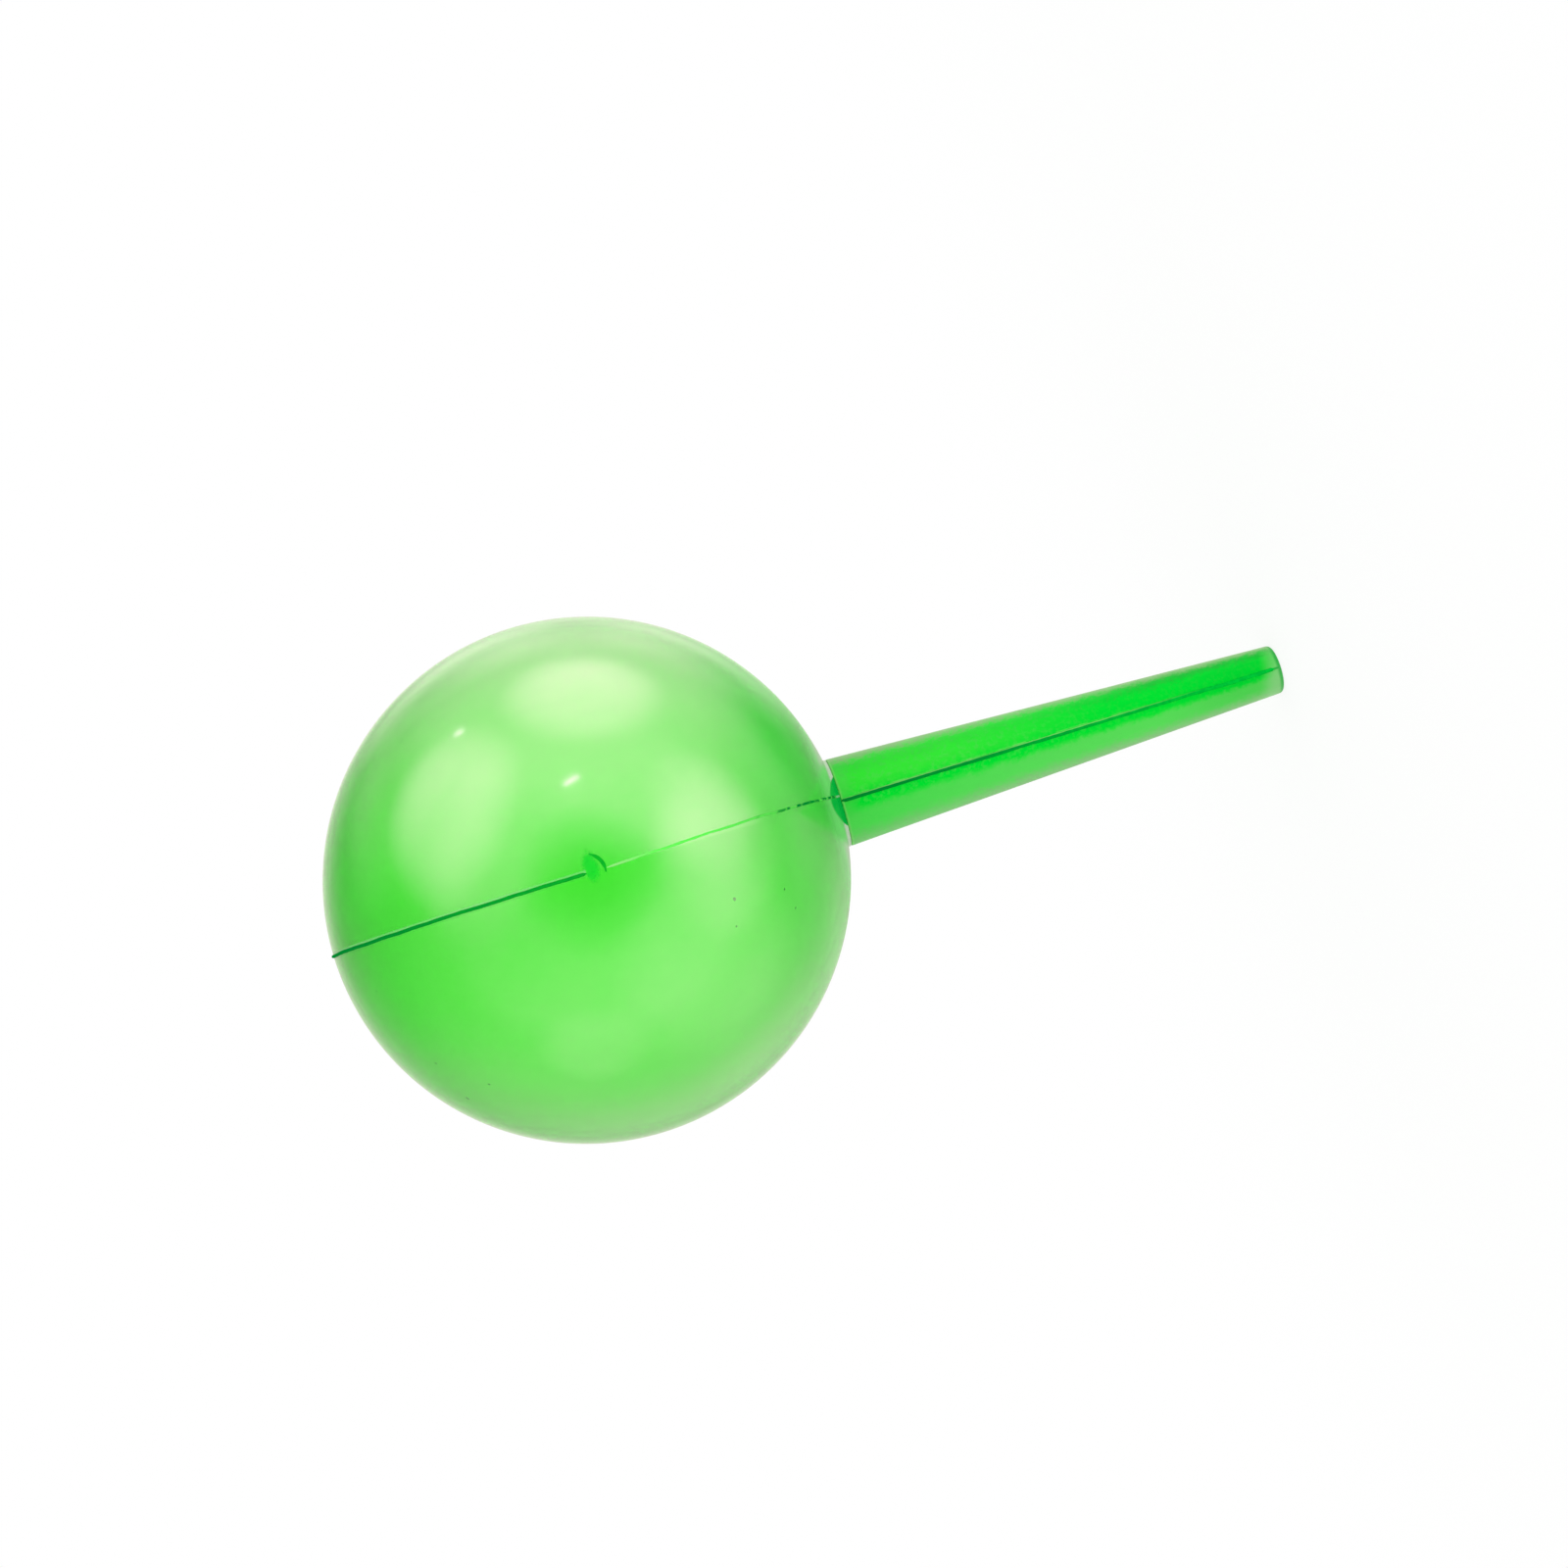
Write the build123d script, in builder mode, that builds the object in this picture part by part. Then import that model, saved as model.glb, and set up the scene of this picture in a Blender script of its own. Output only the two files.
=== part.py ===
"""Watering globe: a blown plastic globe whose neck pushes into a tapered soil spike.

The common axis is Z. The origin is on it at the soil line, where the globe's seat
rests on the stem's rim. The globe is above, the stem points down, and the mould
parting plane of both pieces is YZ. Sizes are in millimetres.
"""

import os
from math import radians, sqrt, tan

from build123d import *

# Globe
GLOBE_DIAMETER = 80.0  # outside of the blown ball
CROWN_WALL = 0.8  # wall at the top, where the plastic is stretched most
SHOULDER_WALL = 1.8  # wall at the bottom, around the neck
COLLAR_HEIGHT = 0.5  # short collar under the ball, as wide as the stem's rim
COLLAR_ROUND = 0.3  # fillet between the ball and the collar

# Neck under the globe, and its fit in the stem
NECK_BORE = 7.4  # way out for the water
NECK_WALL = 1.5  # at the neck's root
NECK_LENGTH = 11.0
NECK_TAPER = 1.5  # degrees a side
NECK_ROOT_ROUND = 0.4  # fillet between the seat and the neck
NECK_LIP_ROUND = 1.0  # where the bore opens into the globe
FIT_CLEARANCE = 0.05  # radial, between the neck and the socket
END_GAP = 0.5  # between the neck's end and the socket's floor

# Stem
STEM_LENGTH = 71.2  # rim to tip
SOCKET_WALL = 1.65  # around the socket's mouth
RIM_ROUND = 0.2  # on the stem's rim and on the collar's edge above it
TIP_WALL = 1.6
TIP_ROUND = 0.6
DRIP_BORE = 4.4  # straight hole at the tip
DRIP_LENGTH = 9.0
DRIP_ROUND = 0.3

# Parting lines left by the moulds, raised above the surface
WELD_WIDTH = 0.6  # pinched weld over the globe's crown
WELD_HEIGHT = 0.3
LINE_WIDTH = 0.35  # fine line from the folds down to the neck
LINE_HEIGHT = 0.12
STEM_LINE_WIDTH = 0.6
STEM_LINE_HEIGHT = 0.2
LINE_ROOT = 0.3  # depth to which each line runs into its wall
LINE_GAP = 0.5  # bare stretch between the globe's line and the stem's

# Folds at the two ends of the pinched weld, front and back
FOLD_RISE = -0.75  # from the globe's middle, here below it
FOLD_DIAMETER = 4.4
FOLD_HEIGHT = 0.2
FOLD_BUTTON = 2.4  # smaller step on top of the fold
FOLD_BUTTON_HEIGHT = 0.15

# Worked out from the sizes above
globe_radius = GLOBE_DIAMETER / 2
bore_radius = NECK_BORE / 2
neck_radius = bore_radius + NECK_WALL
neck_narrowing = NECK_LENGTH * tan(radians(NECK_TAPER))
socket_depth = NECK_LENGTH + END_GAP
socket_radius = neck_radius + FIT_CLEARANCE
socket_narrowing = socket_depth * tan(radians(NECK_TAPER))
socket_chamfer = 1.5 * NECK_ROOT_ROUND
rim_radius = socket_radius + SOCKET_WALL
drip_radius = DRIP_BORE / 2
tip_radius = drip_radius + TIP_WALL
stem_slope = (rim_radius - tip_radius) / STEM_LENGTH

# The collar's flat end is the seat, and the ball's centre is above it
globe_height = COLLAR_HEIGHT + sqrt(globe_radius**2 - rim_radius**2)
hollow_radius = globe_radius - (CROWN_WALL + SHOULDER_WALL) / 2
hollow_height = globe_height + (SHOULDER_WALL - CROWN_WALL) / 2
hollow_bottom = hollow_height - sqrt(hollow_radius**2 - bore_radius**2)
fold_height = globe_height + FOLD_RISE
fold_reach = sqrt(globe_radius**2 - FOLD_RISE**2)  # from the axis to the surface there

os.makedirs("parts", exist_ok=True)


# Globe: a revolved shell with its collar and neck, then the weld, the lines and the folds
with BuildPart() as globe:
    with BuildSketch(Plane.XZ):
        with BuildLine():
            ThreePointArc(
                (0, globe_height + globe_radius),
                (globe_radius, globe_height),
                (rim_radius, COLLAR_HEIGHT),
            )
            Polyline(
                (rim_radius, COLLAR_HEIGHT),
                (rim_radius, 0),
                (neck_radius, 0),
                (neck_radius - neck_narrowing, -NECK_LENGTH),
                (bore_radius, -NECK_LENGTH),
                (bore_radius, hollow_bottom),
            )
            ThreePointArc(
                (bore_radius, hollow_bottom),
                (hollow_radius, hollow_height),
                (0, hollow_height + hollow_radius),
            )
            Line((0, hollow_height + hollow_radius), (0, globe_height + globe_radius))
        make_face()
    revolve(axis=Axis.Z)

    circles = globe.edges().filter_by(GeomType.CIRCLE)
    seat = circles.filter_by_position(Axis.Z, -0.01, 0.01).sort_by(SortBy.RADIUS)
    fillet(seat[0], NECK_ROOT_ROUND)
    fillet(seat[-1], RIM_ROUND)
    circles = globe.edges().filter_by(GeomType.CIRCLE)
    ball_foot = circles.filter_by_position(Axis.Z, COLLAR_HEIGHT - 0.01, COLLAR_HEIGHT + 0.01)
    fillet(ball_foot.sort_by(SortBy.RADIUS)[-1], COLLAR_ROUND)
    circles = globe.edges().filter_by(GeomType.CIRCLE)
    lip = circles.filter_by_position(Axis.Z, hollow_bottom - 0.01, hollow_bottom + 0.01)
    fillet(lip.sort_by(SortBy.RADIUS)[0], NECK_LIP_ROUND)

    with BuildSketch(Plane.YZ):
        with Locations((0, globe_height)):
            Circle(globe_radius + WELD_HEIGHT)
            Circle(globe_radius - LINE_ROOT, mode=Mode.SUBTRACT)
        with Locations((0, fold_height)):
            Rectangle(
                3 * globe_radius,
                2 * globe_radius,
                align=(Align.CENTER, Align.MIN),
                mode=Mode.INTERSECT,
            )
    extrude(amount=WELD_WIDTH / 2, both=True)

    with BuildSketch(Plane.YZ):
        with Locations((0, globe_height)):
            Circle(globe_radius + LINE_HEIGHT)
            Circle(globe_radius - LINE_ROOT, mode=Mode.SUBTRACT)
        with Locations((0, fold_height)):
            Rectangle(
                3 * globe_radius,
                2 * globe_radius,
                align=(Align.CENTER, Align.MAX),
                mode=Mode.INTERSECT,
            )
        Rectangle(
            2 * (rim_radius + STEM_LINE_HEIGHT + LINE_GAP),
            globe_radius,
            mode=Mode.SUBTRACT,
        )
    extrude(amount=LINE_WIDTH / 2, both=True)

    for diameter, height in (
        (FOLD_DIAMETER, FOLD_HEIGHT),
        (FOLD_BUTTON, FOLD_HEIGHT + FOLD_BUTTON_HEIGHT),
    ):
        for side in (1, -1):
            with BuildSketch(Plane.XZ.offset(side * (fold_reach - LINE_ROOT))):
                with Locations((0, fold_height)):
                    Circle(diameter / 2)
            extrude(amount=side * (LINE_ROOT + height))
globe.part.label = "globe"
export_step(globe.part, "parts/globe.step")


# Stem: a tapered spike with its parting lines, bored from socket to tip
with BuildPart() as stem:
    with BuildSketch(Plane.XZ):
        with BuildLine():
            Polyline(
                (0, 0),
                (rim_radius, 0),
                (tip_radius, -STEM_LENGTH),
                (0, -STEM_LENGTH),
                close=True,
            )
        make_face()
    revolve(axis=Axis.Z)
    ends = stem.edges().filter_by(GeomType.CIRCLE).sort_by(Axis.Z)
    fillet(ends[-1], RIM_ROUND)
    fillet(ends[0], TIP_ROUND)

    line_top = -RIM_ROUND
    line_bottom = -(STEM_LENGTH - 2 * TIP_ROUND)
    with BuildSketch(Plane.YZ):
        with BuildLine():
            top = rim_radius + stem_slope * line_top + STEM_LINE_HEIGHT
            bottom = rim_radius + stem_slope * line_bottom + STEM_LINE_HEIGHT
            Polyline(
                (-top, line_top),
                (top, line_top),
                (bottom, line_bottom),
                (-bottom, line_bottom),
                close=True,
            )
        make_face()
    extrude(amount=STEM_LINE_WIDTH / 2, both=True)

    with BuildSketch(Plane.XZ):
        with BuildLine():
            Polyline(
                (0, 0),
                (socket_radius + socket_chamfer, 0),
                (socket_radius, -socket_chamfer),
                (socket_radius - socket_narrowing, -socket_depth),
                (bore_radius, -socket_depth),
                (drip_radius, -(STEM_LENGTH - DRIP_LENGTH)),
                (drip_radius, -STEM_LENGTH),
                (0, -STEM_LENGTH),
                close=True,
            )
        make_face()
    revolve(axis=Axis.Z, mode=Mode.SUBTRACT)
    mouth = stem.faces().sort_by(Axis.Z)[0].inner_wires().edges()
    fillet(mouth, DRIP_ROUND)
stem.part.label = "stem"
export_step(stem.part, "parts/stem.step")

print(f"overall length {globe_height + globe_radius + WELD_HEIGHT + STEM_LENGTH:.1f} mm")
print(f"stem {2 * rim_radius:.1f} mm at the rim, {2 * tip_radius:.1f} mm at the tip")
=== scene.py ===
"""Looks of the watering globe: a blown green plastic globe on a tapered soil spike.

Everything is in metres, in the part's own frame. The common axis is Z, the origin is on it
at the soil line, where the globe sits on the stem's rim, and the moulds part in the YZ plane.
The camera is on the -Y side.
"""

from math import acos, atan2, cos, pi, radians, sin, sqrt, tan

import bpy
from bpy.props import FloatProperty, FloatVectorProperty, IntProperty, PointerProperty
from mathutils import Matrix, Vector


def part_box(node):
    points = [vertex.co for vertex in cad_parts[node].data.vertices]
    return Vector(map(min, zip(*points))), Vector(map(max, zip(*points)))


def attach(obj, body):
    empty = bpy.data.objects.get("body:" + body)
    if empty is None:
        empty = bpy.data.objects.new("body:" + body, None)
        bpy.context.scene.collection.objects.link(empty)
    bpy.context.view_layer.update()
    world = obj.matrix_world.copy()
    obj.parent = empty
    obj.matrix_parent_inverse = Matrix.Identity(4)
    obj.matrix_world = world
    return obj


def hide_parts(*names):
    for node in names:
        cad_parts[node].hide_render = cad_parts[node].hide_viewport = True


bl_info = {
    "name": "Watering globe",
    "version": (1, 0, 0),
    "blender": (4, 5, 0),
    "location": "3D View > Sidebar > Watering globe",
    "description": "Builds the globe, its stem, their mould lines and a plain studio",
    "category": "Add Mesh",
}

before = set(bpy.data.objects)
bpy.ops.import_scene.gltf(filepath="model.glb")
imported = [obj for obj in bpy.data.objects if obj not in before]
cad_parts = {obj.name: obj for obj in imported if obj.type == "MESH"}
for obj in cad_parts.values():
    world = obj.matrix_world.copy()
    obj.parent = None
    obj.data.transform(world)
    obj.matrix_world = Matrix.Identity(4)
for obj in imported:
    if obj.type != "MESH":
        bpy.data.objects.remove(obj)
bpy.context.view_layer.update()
globe_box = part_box("globe")
stem_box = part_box("stem")

MM = 0.001
GLOBE_RADIUS = globe_box[1][0]
RIM_RADIUS = stem_box[1][0]
STEM_LENGTH = -stem_box[0][2]
NECK_LENGTH = -globe_box[0][2]


def length(name, default, description):
    """A size in metres, given here in millimetres."""
    return FloatProperty(
        name=name, description=description, default=default * MM, precision=5, unit="LENGTH"
    )


def angle(name, default, description):
    """An angle in radians, given here in degrees."""
    return FloatProperty(
        name=name, description=description, default=radians(default), unit="ROTATION"
    )


def amount(name, default, description):
    """A share from 0 to 1."""
    return FloatProperty(
        name=name, description=description, default=default, min=0, max=1, subtype="FACTOR"
    )


def number(name, default, description, least=0):
    """A plain number."""
    return FloatProperty(name=name, description=description, default=default, min=least)


def colour(name, default, description):
    """A linear colour."""
    return FloatVectorProperty(
        name=name, description=description, default=default, size=3, min=0, max=1, subtype="COLOR"
    )


class GlobeSizes(bpy.types.PropertyGroup):
    """The blown globe and its neck."""

    crown_wall: length("Crown wall", 0.8, "Wall at the top, where the plastic is stretched most")
    shoulder_wall: length("Shoulder wall", 1.8, "Wall at the bottom, around the neck")
    collar: length("Collar", 0.5, "Height of the short collar under the ball")
    collar_round: length("Collar round", 0.3, "Fillet between the ball and the collar")
    seat_round: length("Seat round", 0.2, "Round of the collar's edge on the stem's rim")
    bore: length("Bore", 3.7, "Radius of the way out for the water")
    neck_wall: length("Neck wall", 1.5, "Wall of the neck at its root")
    neck_root: length("Neck root", 0.4, "Fillet between the seat and the neck")
    neck_lip: length("Neck lip", 1.0, "Round where the bore opens into the globe")
    neck_end: length("Neck end", 0.3, "Round at the end of the neck")
    neck_taper: angle("Neck taper", 1.5, "Taper of the neck, each side")
    around: IntProperty(name="Around", description="Faces round the globe", default=192, min=24)


class StemSizes(bpy.types.PropertyGroup):
    """The tapered soil spike."""

    socket: length("Socket", 5.25, "Radius of the socket at its mouth")
    socket_depth: length("Socket depth", 11.5, "Depth of the socket")
    socket_chamfer: length("Socket chamfer", 0.6, "Lead-in at the socket's mouth")
    rim_round: length("Rim round", 0.2, "Round at the rim")
    seat_gap: length("Seat gap", 0.02, "Air between the rim and the globe's seat")
    throat: length("Throat", 3.7, "Radius of the channel under the socket")
    tip: length("Tip", 3.8, "Outside radius at the tip")
    tip_round: length("Tip round", 0.6, "Round at the tip")
    drip: length("Drip bore", 2.2, "Radius of the hole at the tip")
    drip_length: length("Drip length", 9.0, "Length of the straight hole")
    drip_round: length("Drip round", 0.3, "Round at the mouth of the hole")
    around: IntProperty(name="Around", description="Faces round the stem", default=128, min=24)


class LineSizes(bpy.types.PropertyGroup):
    """Lines that the moulds left."""

    weld_width: length("Weld width", 0.5, "Width of the pinched weld over the crown")
    weld_height: length("Weld height", 0.3, "Height of the pinched weld")
    weld_unevenness: amount("Weld unevenness", 0.1, "How far the weld's thickness varies")
    weld_taper: amount("Weld taper", 0.004, "Share of the weld that thins at each end")
    line_width: length("Line width", 0.35, "Width of the fine line down to the neck")
    line_height: length("Line height", 0.12, "Height of the fine line")
    line_unevenness: amount("Line unevenness", 0.35, "How far the fine line's thickness varies")
    line_taper: amount("Line taper", 0.02, "Share of the fine line that thins at each end")
    line_start: length("Line start", 2.9, "From the weld's end to the start of the fine line")
    line_drift: length("Line drift", 0.8, "How far the fine line runs off the stem's line")
    neck_gap: length("Neck gap", 0.7, "Bare stretch between the globe's line and the stem's")
    fold_rise: length("Fold rise", -0.75, "Height of the folds over the globe's middle")
    fold_width: length("Fold width", 0.55, "Width of a fold's crescent")
    fold_height: length("Fold height", 0.12, "Height of a fold's crescent")
    fold_unevenness: amount("Fold unevenness", 0.15, "How far a crescent's thickness varies")
    fold_taper: amount("Fold taper", 0.35, "Share of a crescent that thins at each end")
    fold_reach: length("Fold reach", 2.7, "From the weld's end to a fold's crescent")
    fold_start: angle("Fold start", -12, "Where a crescent starts, as a turn from the stem's side")
    fold_end: angle("Fold end", 66, "Where a crescent ends, as a turn from the stem's side")
    stem_width: length("Stem line width", 0.6, "Width of the stem's lines")
    stem_height: length("Stem line height", 0.2, "Height of the stem's lines")
    stem_unevenness: amount("Stem unevenness", 0.15, "How far the stem lines' thickness varies")
    stem_taper: amount("Stem line taper", 0.005, "Share of the stem's lines that thins at each end")
    wander: length("Wander", 0.35, "How far the lines stray from the parting plane")
    globe_spacing: length("Globe spacing", 0.2, "Between the points along the globe's lines")
    stem_spacing: length("Stem spacing", 0.5, "Between the points along the stem's lines")
    globe_grain: number("Globe grain", 900.0, "Bumps per metre along the globe's lines")
    stem_grain: number("Stem grain", 600.0, "Bumps per metre along the stem's lines")
    # Size of the deep lens of painted shade where the globe meets the stem
    shaded_lens_half: length("Pinch half width", 3.9, "Half width of the pinched plastic at the neck")
    shaded_lens_height: length("Pinch height", 1.9, "Height of the pinched plastic at the neck")


class PlasticLook(bpy.types.PropertyGroup):
    """Green translucent plastic."""

    passes: colour("Absorption", (0.06, 1.0, 0.08), "What passes through the plastic")
    density: number("Density", 380.0, "Strength of the absorption per metre")
    globe_tint: colour("Globe tint", (0.43, 1.0, 0.29), "Tint of the blown skin")
    globe_deep: colour("Deep globe", (0.14, 1.0, 0.105), "Tint of the skin where it is thicker")
    # Pale painted sheen, close to the neck and as a painted highlight beside the weld
    globe_pale: colour("Pale globe", (0.72, 0.90, 0.70), "Tint of the skin close to the neck")
    globe_shine: colour("Globe shine", (1.0, 0.40, 0.87), "Tint of the globe's reflections")
    gloss: number("Gloss", 4.0, "How far the outer skin outshines plain plastic", 1)
    globe_clear: amount("Globe clearness", 0.96, "Share of light that the globe doesn't scatter")
    stem_deep: colour("Deep stem", (0.0, 0.93, 0.04), "Tint beside the parting lines")
    # The stem's halves differ by painted light: this tint on the +X half, and the paler tint next on
    # the -X half as a painted sheen
    stem_even: colour("Stem", (0.05, 1.0, 0.05), "Tint of the stem's thicker half")
    stem_pale: colour("Pale stem", (0.125, 0.88, 0.125), "Tint of the stem's thinner half")
    stem_shade: colour("Stem shade", (0.0, 0.45, 0.03), "Tint towards the stem's edge and tip")
    # Painted grazing reflection along the -X edge
    stem_grey: colour("Grey stem", (0.27, 0.64, 0.23), "Tint of the thinner half's edge")
    stem_end: colour("Stem end", (0.32, 0.74, 0.28), "Tint of the stem's end round its mouth")
    # Painted grazing reflection along the +X edge
    stem_edge: colour("Stem edge", (0.26, 0.56, 0.20), "Tint of the thicker half's edge")
    stem_shine: colour("Stem shine", (0.02, 0.16, 0.06), "Tint of the stem's reflections")
    stem_clear: amount("Stem clearness", 0.25, "Share of light that the stem doesn't scatter")
    skin: amount("Outer roughness", 0.12, "Roughness of the blown outer skin")
    inside: amount("Inner roughness", 0.42, "Roughness of the inner skin, which makes the haze")
    scuff: amount("Scuffing", 0.13, "Added roughness of the outer skin close to the neck")
    waviness: length("Waviness", 0.06, "Height of the waves in the skin")
    crease: length("Crease", 0.5, "Rise of the globe's two halves towards the weld")
    crease_reach: length("Crease reach", 12.0, "How far from the weld the halves rise")
    matt: amount("Stem roughness", 0.38, "Roughness of the moulded stem")
    globe_mottle: amount("Globe mottle", 0.04, "How far the globe's roughness varies")
    stem_mottle: amount("Stem mottle", 0.06, "How far the stem's roughness varies")
    skin_sheen: amount("Skin sheen", 0.5, "Level of the blown skin's reflections")
    matt_sheen: amount("Matt sheen", 0.1, "Level of the matt plastic's reflections")
    ior: number("IOR", 1.49, "Index of refraction", 1)
    line: colour("Line", (0.0, 0.24, 0.03), "Deep green of the raised lines")
    line_end: colour("Line end", (0.0, 0.60, 0.04), "Green of the stem's lines by the tip")
    line_near: colour("Line near fold", (0.003, 0.43, 0.025), "Green of the weld near the folds")
    # Painted shade in the lens where the globe meets the stem; also the deep green of the stem's seam
    # ends and the ring round its mouth
    deep_green_and_shade: colour("Pinch", (0.0, 0.45, 0.05), "Deep green of the pinched plastic at the neck")
    shoulder: colour("Shoulder", (0.10, 0.93, 0.12), "Matt green above the neck")
    # Painted highlight: the pale rim of light round the globe's outline by the neck
    collar: colour("Collar", (0.52, 0.66, 0.48), "Pale scuffed skin of the collar")
    # Painted highlight on the lines' lit edges and the stem's rim; also the bright green of the fine
    # line by the fold
    line_edge: colour("Line edge", (0.30, 0.86, 0.22), "Bright green of a line's lit edge")
    line_even: colour("Fine line", (0.10, 0.66, 0.08), "Green of the fine line towards the neck")
    fold: colour("Fold", (0.005, 0.52, 0.02), "Green of the folds' crescents")
    fold_patch: colour("Fold patch", (0.0, 0.72, 0.025), "Deep patch inside a fold")


class StudioSetup(bpy.types.PropertyGroup):
    """Camera, lights and floor."""

    distance: length("Distance", 400.0, "From the camera to the globe's centre")
    lens: number("Lens", 60.0, "Focal length in mm", 1)
    sensor: number("Sensor", 36.0, "Width of the camera's sensor in mm", 1)
    near: length("Near", 10.0, "Distance from which on the camera sees")
    tilt: angle("Tilt", -1.2, "How far the stem points away from the camera, or towards it below 0")
    roll: angle("Roll", 17.0, "Rise of the stem to the right in the picture")
    turn: angle("Turn", 1.2, "Turn of the camera about the stem's axis")
    centre_pixel: FloatVectorProperty(
        name="Centre pixel",
        description="Where the globe's centre is in the picture, from its top left corner",
        default=(600.8, 897.2),
        size=2,
    )
    picture: number("Picture", 1600, "Width of the picture in pixels")
    base: number("Base", 1.0, "Level of the white studio")
    reflected: number("Reflected", 0.88, "Level of the studio between the soft boxes")
    soft_boxes: number("Soft boxes", 1.05, "Strength of the soft boxes' reflections")
    warmth: colour("Warmth", (1.0, 1.0, 0.86), "Tint of the soft boxes' reflections")
    camera_shade: amount("Camera shade", 0.17, "Reach of the dark round the camera, 1 less its cosine")
    grazing: number("Grazing", 4.7, "How steeply the studio brightens behind the globe")
    floor_reach: length("Floor reach", 4000.0, "From the floor's middle to its sides")
    floor_glow: amount("Floor glow", 0.85, "Share of the floor's white that is its own glow")
    lamp_distance: length("Lamp distance", 600.0, "From the small lamps to the globe's centre")
    slant: angle("Slant", 40, "Rise of the small lamps' long side in the picture")
    lamp_power: FloatProperty(
        name="Lamp power", description="Power of the small lamps", default=0.05, unit="POWER"
    )


# Soft boxes round the camera: turn from the picture's right, lean from the camera's axis,
# inner and outer edge of the glow, all in degrees, and the strength. Below 0 it is a dark screen
SOFT_BOXES = (
    (92, 72, 15, 73, 5.6),
    (92, 86, 4, 29, 6.2),
    (97, 138, 8, 28, 0.65),
    (66, 135, 8, 24, 0.8),
    (122, 135, 8, 24, 0.9),
    (100, 170, 6, 20, 0.2),
    (151, 71, 4, 34, 6.0),
    (154, 103, 8, 33, 1.0),
    (28, 58, 4, 31, 4.2),
    (12, 60, 4, 36, 3.0),
    (25, 44, 4, 22, 1.4),
    (20, 97, 6, 27, 0.8),
    (184, 46, 4, 33, 1.6),
    (215, 104, 8, 42, 0.25),
    (290, 80, 15, 76, 1.75),
    (272, 76, 3, 22, 1.5),
    (325, 66, 5, 45, 1.8),
    (340, 118, 10, 42, 0.55),
    (30, 128, 6, 27, -0.5),
    (190, 114, 8, 40, -0.42),
    (0, 0, 60, 80, 1.0),
)

# Small lamps: the way to each by the picture's right, up and towards the camera, its long and its
# short side in metres, and its share of the lamps' power
LAMPS = {
    "streak": ((-0.113, 0.647, 0.754), (65 * MM, 14 * MM), 0.56),
    "spark": ((-0.66, 0.751, 0.02), (30 * MM, 18 * MM), 0.22),
}
WHITE = (1, 1, 1, 1)

# Points along the arcs of the outlines and along the paths
BALL_POINTS = 129
FILLET_POINTS = 9
ROUND_POINTS = 7
TIP_POINTS = 13
WELD_POINTS = 161
LINE_POINTS = 81
CRESCENT_POINTS = 25

# Making of the meshes
SAME_PLACE = 1e-7  # points closer than this become one
SKIN_CREASE = radians(35)  # edges sharper than this stay sharp
RIDGE_CREASE = radians(50)
RIDGE_SIDES = 12
RIDGE_END = 0.3  # share of its thickness that a ridge keeps at its ends
LINE_TOP = 0.25  # start of the stem's lines below the rim, as a share of the rim's round

# Noise: bumps per metre, layers of finer detail and, where it isn't the common one, roughness
NOISE_MEAN = 0.5
NOISE_ROUGHNESS = 0.6
WANDERING = (150.0, 2.0, 0.5)
RIDGE_GRAIN = (2.0, 0.5)  # after its bumps per metre, which each ridge sets
WAVES = (110.0, 2.0)
DENTS = (700.0, 2.0)
MOTTLE = (180.0, 3.0)
CLOUDS = (80.0, 4.0)
MARKS = (500.0, 3.0)
SPECKS = (800.0, 0.0)
BLOTCHES = (400.0, 4.0)
GLOBE_GRAIN = (1500.0, 2.0)
STEM_GRAIN = (1500.0, 3.0)
LINE_GRAIN = (900.0, 2.0)
WAVE_STRETCH = (1, 1, 0.4)  # below 1 draws a noise out along the axis
MARK_STRETCH = (1, 1, 0.1)
DENT_SHARE = 0.02  # height of the dents as a share of the waves'


# The next classes hold soft steps in the plastics. Each gives the start and the end and, where they
# aren't 0 and 1, the share at either. Heights are over the soil line, and noise runs from 0 to 1


class GlobeZones:
    """The blown skin."""

    inner_skin = (0.2 * MM, 0.5 * MM)  # depth under the ball's surface
    hollow_floor = (0.4 * MM, 0.6 * MM)  # height from which the inner skin is the hollow's
    scuffed = (9 * MM, 3 * MM)  # height
    clouds = (0.4, 0.75, 0, 0.35)  # noise
    crown = (60 * MM, 76 * MM, 0, 0.7)  # height
    marks = (0.45, 0.75, 0, 0.15)  # noise
    grain = (0.45, 0.7, 0, 0.15)  # noise
    grained = (45 * MM, 68 * MM)  # height
    pale = (4.5 * MM, 1.5 * MM, 0, 0.6)  # height of the pale painted sheen by the neck
    specks = (0.87, 0.89)  # noise


class NeckZones:
    """The matt plastic over the seat: a deep lens of painted shade where the globe meets the stem, and
    bands of painted highlight round it.
    """

    lens = (-0.15 * MM, 0.1 * MM)  # depth inside the lens of painted shade
    seam = (0.2 * MM, 0.1 * MM, 0, 0.5)  # distance from the fine line
    seat = (-0.2 * MM, 0)  # height
    # Bands of painted highlight in the pale collar tint
    highlight_sides = (4 * MM, 7 * MM)  # distance from the parting plane
    highlight_low = (3 * MM, 1 * MM)  # height
    highlight_shoulder = (4.5 * MM, 2 * MM, 0, 0.35)  # height
    highlight_collar = (1.2 * MM, 0.4 * MM)  # height
    thick_shoulder = (18 * MM, 7 * MM)  # height
    thick_side = (-12 * MM, 8 * MM, 0.1, 0.22)  # place along X
    matt_shoulder = (5 * MM, 1 * MM, 0, 0.6)  # height
    matt_collar = (1.4 * MM, 0.3 * MM)  # height


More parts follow.
